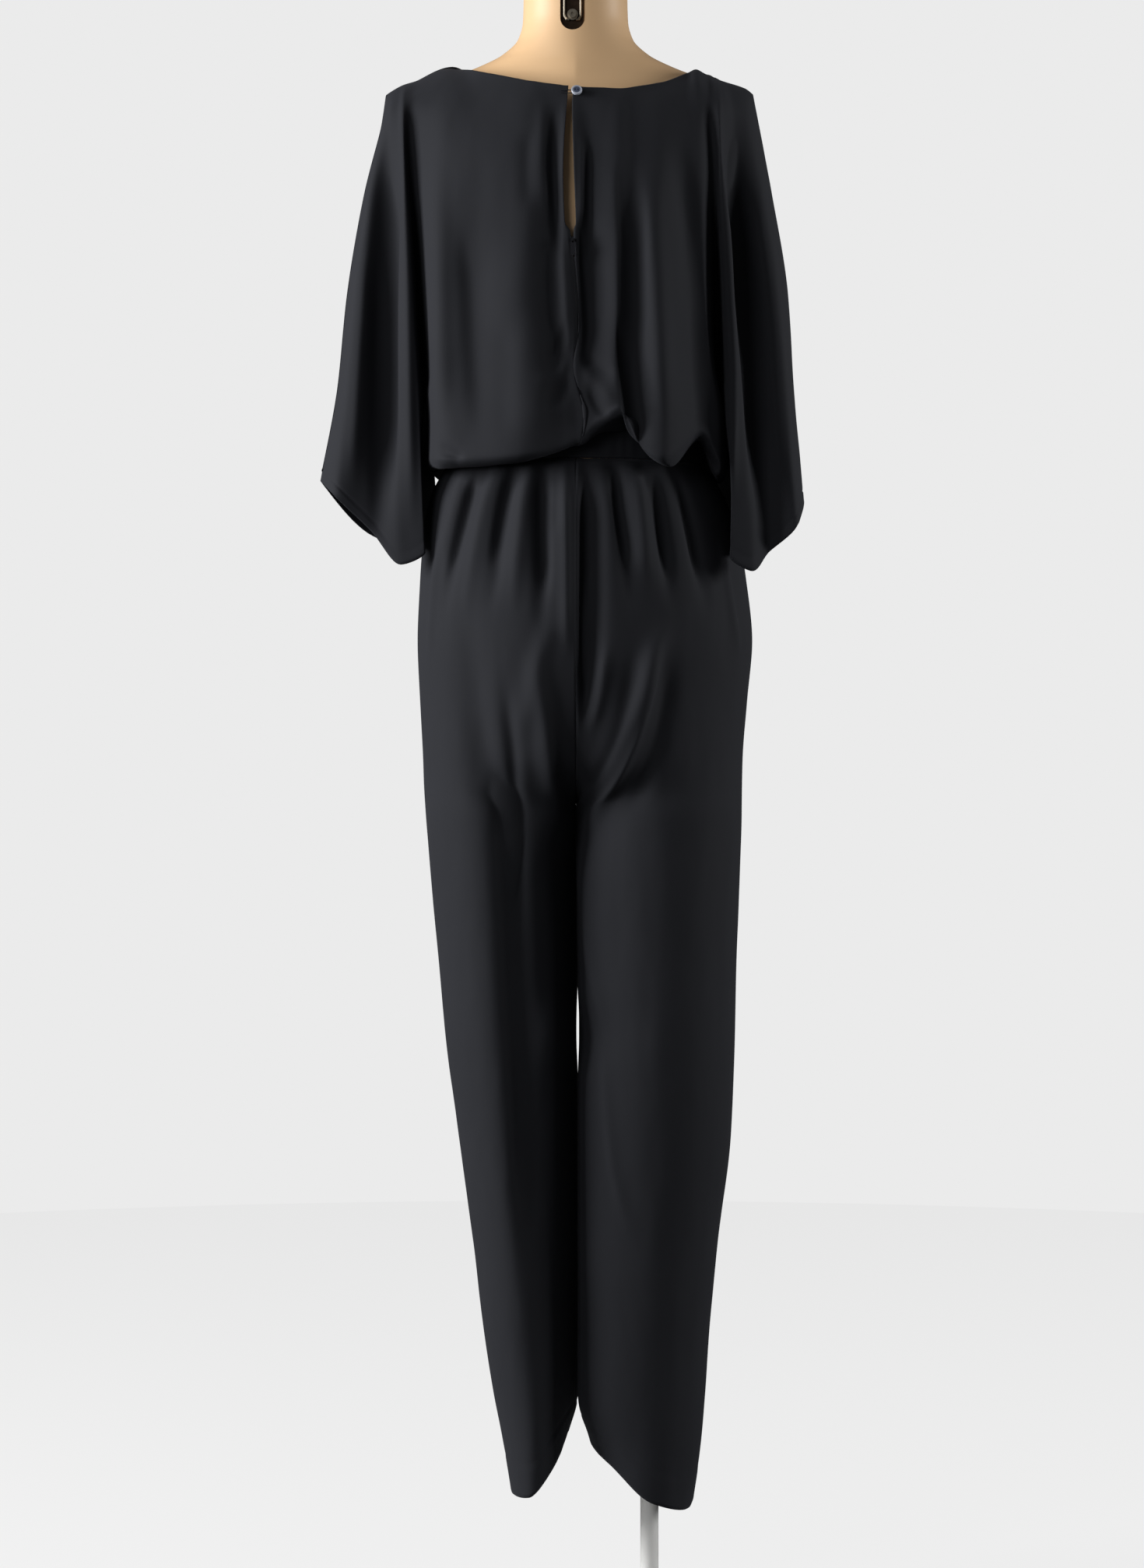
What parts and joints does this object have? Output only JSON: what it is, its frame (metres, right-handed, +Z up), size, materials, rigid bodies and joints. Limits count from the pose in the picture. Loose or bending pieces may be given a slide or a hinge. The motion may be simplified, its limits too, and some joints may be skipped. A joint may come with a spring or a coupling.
{
  "type": "jumpsuit on dress form",
  "caption": "Loose black crepe jumpsuit with kimono sleeves, bloused bodice and tapered legs, on a limbless dress form with rod and round base.",
  "frame": {"origin": "on the floor, at the middle of the round base's underside", "axes": "+Z up; the garment's front faces +Y and its back, with the keyhole and zip, faces -Y; the wearer's left is at -X"},
  "size_m": [0.4774, 0.34, 1.665],
  "materials": {
    "crepe": "fluid black crepe, faint sheen",
    "button_resin": "polished navy resin",
    "plated_steel": "plated steel",
    "dark_steel": "blackened steel; black lacquer on the zip",
    "moulded_plastic": "tan moulded plastic, satin",
    "powder_coat": "white powder coat"
  },
  "bodies": {
    "root": {"bodice_front": "crepe", "bodice_back_left": "crepe", "bodice_back_right": "crepe", "waist_casing": "crepe", "trouser_left_back": "crepe", "trouser_left_front": "crepe", "trouser_right_back": "crepe", "trouser_right_front": "crepe", "button": "button_resin", "button_loop": "crepe", "zip_slider": "dark_steel", "form_torso": "moulded_plastic", "neck_plate": "dark_steel", "neck_loop": "plated_steel", "neck_screw": "plated_steel", "stand_rod": "powder_coat", "stand_base": "powder_coat"},
    "pull": {"zip_pull": "dark_steel"}
  },
  "joints": [
    {"name": "pull_swing", "type": "hinge", "parent": "root", "child": "pull", "pos_m": [0.00067, -0.11947, 1.366], "axis": [-1, 0, 0], "range_deg": [0, 150]}
  ]
}
